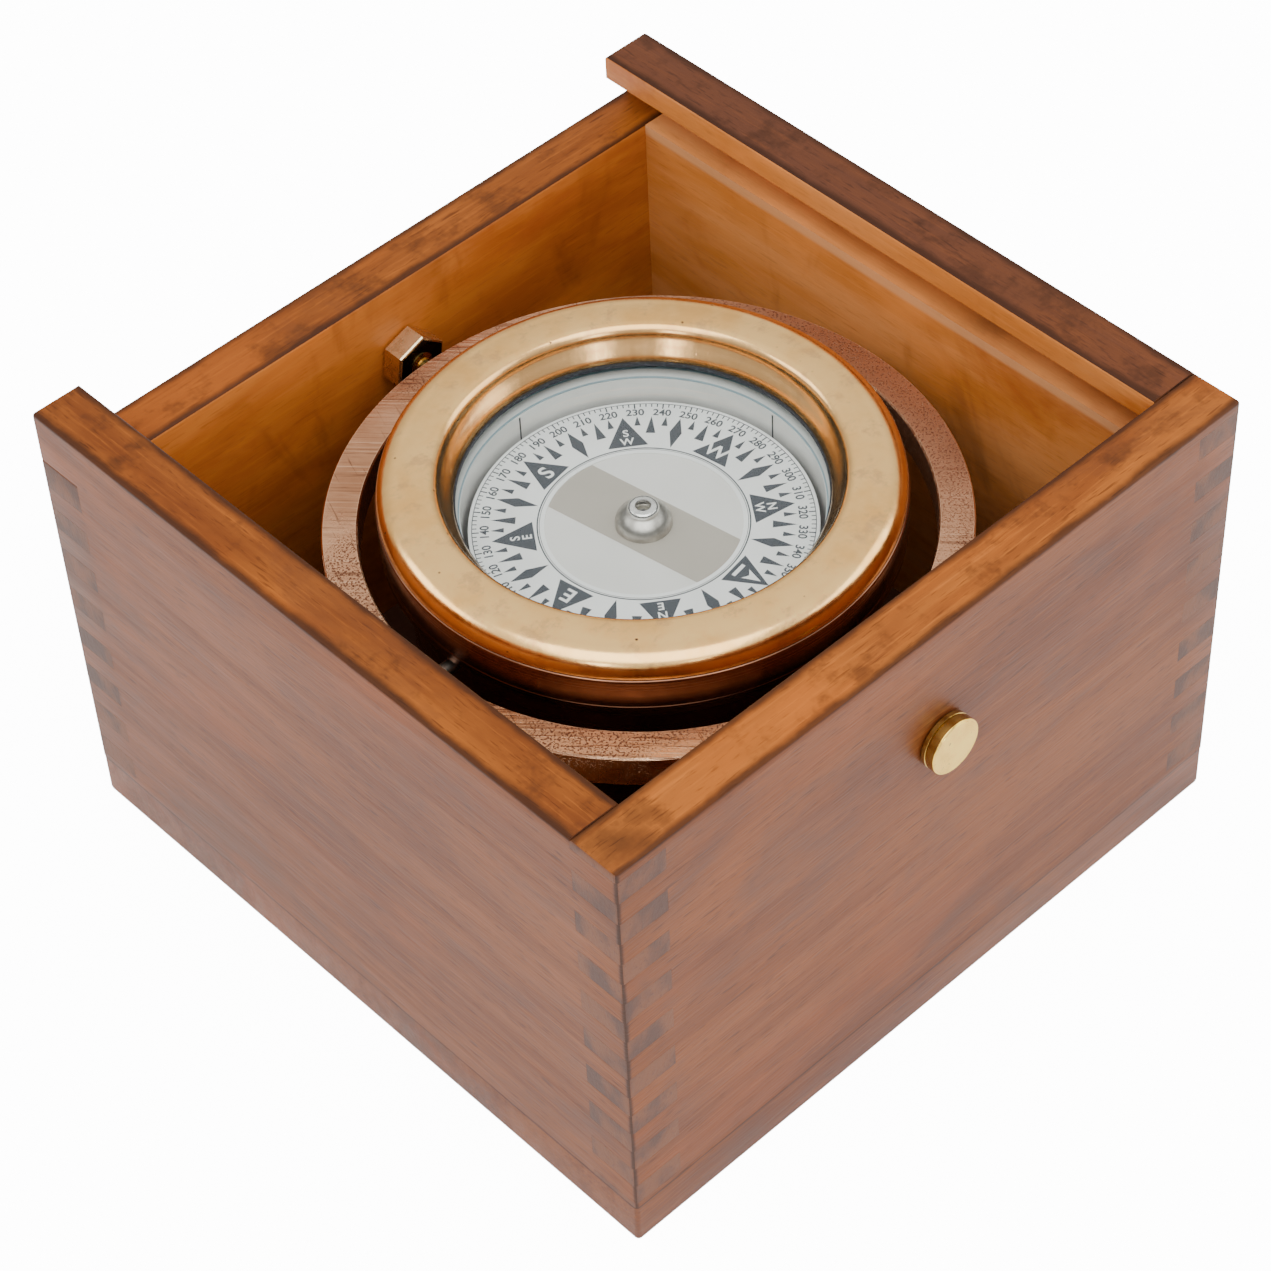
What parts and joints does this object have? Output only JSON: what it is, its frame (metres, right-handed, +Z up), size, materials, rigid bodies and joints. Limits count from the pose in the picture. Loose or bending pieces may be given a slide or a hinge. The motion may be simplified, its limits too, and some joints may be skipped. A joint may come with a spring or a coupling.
{
  "type": "boxed marine compass",
  "caption": "Liquid-filled compass bowl in a gimbal ring, hung inside an open-topped finger-jointed wooden box with grooves for a sliding lid.",
  "frame": {"origin": "bottom centre of the box, on the surface it stands on", "axes": "+Z up, -Y towards the taller front wall, X along the bowl's pivots, Y along the gimbal ring's pivots"},
  "size_m": [0.178, 0.1858, 0.12],
  "materials": {
    "stained_wood": "semi-gloss varnish over a brown stain",
    "base_wood": "semi-gloss varnish over a brown stain",
    "copper_bronze": "turned and brushed, copper toned",
    "polished_brass": "polished, lightly tarnished",
    "dark_steel": "dark oiled steel",
    "rubber": "matt",
    "white_enamel": "gloss white paint",
    "card_white": "printed white celluloid",
    "clear_glass": "polished",
    "tinned_metal": "tinned",
    "lead": "dull lead",
    "sapphire": "polished jewel"
  },
  "bodies": {
    "box": {"front_wall": "stained_wood", "back_wall": "stained_wood", "left_wall": "stained_wood", "right_wall": "stained_wood", "base_board": "base_wood", "front_pivot_screw": "polished_brass", "front_pivot_nut": "polished_brass", "back_pivot_screw": "polished_brass", "back_pivot_nut": "polished_brass", "base_screw_back_1": "polished_brass", "base_screw_back_2": "polished_brass", "base_screw_front_1": "polished_brass", "base_screw_front_2": "polished_brass", "base_screw_left_1": "polished_brass", "base_screw_left_2": "polished_brass", "base_screw_right_1": "polished_brass", "base_screw_right_2": "polished_brass"},
    "ring": {"gimbal_ring": "copper_bronze", "bowl_pivot_pin_left": "dark_steel", "bowl_pivot_pin_right": "dark_steel"},
    "bowl": {"balance_weight": "lead", "bezel_ring": "polished_brass", "bottom_cover": "copper_bronze", "bowl_body": "copper_bronze", "cover_glass": "clear_glass", "cover_screw_1": "polished_brass", "cover_screw_2": "polished_brass", "cover_screw_3": "polished_brass", "cover_screw_4": "polished_brass", "cover_screw_5": "polished_brass", "cover_screw_6": "polished_brass", "expansion_diaphragm": "tinned_metal", "filler_plug": "polished_brass", "filler_washer": "rubber", "lower_gasket": "rubber", "pivot_point": "dark_steel", "pivot_post": "tinned_metal", "post_nut": "polished_brass", "upper_gasket": "rubber", "weight_screw_1": "polished_brass", "weight_screw_2": "polished_brass", "weight_screw_3": "polished_brass", "white_liner": "white_enamel"},
    "card": {"card_disc": "card_white", "card_window": "card_white", "float_dome": "tinned_metal", "dome_cap": "tinned_metal", "jewel_cup": "tinned_metal", "jewel": "sapphire", "magnet_case": "tinned_metal", "magnet_cover": "tinned_metal", "magnet_bar_1": "dark_steel", "magnet_bar_2": "dark_steel", "magnet_bar_3": "dark_steel", "magnet_bar_4": "dark_steel"}
  },
  "joints": [
    {"name": "gimbal_roll", "type": "hinge", "parent": "box", "child": "ring", "pos_m": [0, -0.0033, 0.087], "axis": [0, 1, 0], "range_deg": [-45, 45]},
    {"name": "bowl_pitch", "type": "hinge", "parent": "ring", "child": "bowl", "pos_m": [0, -0.0033, 0.087], "axis": [1, 0, 0], "range_deg": [-30, 30]},
    {"name": "card_turn", "type": "hinge", "parent": "bowl", "child": "card", "pos_m": [-0.0012, -0.0033, 0.0891], "axis": [0, 0, 1], "continuous": true}
  ]
}
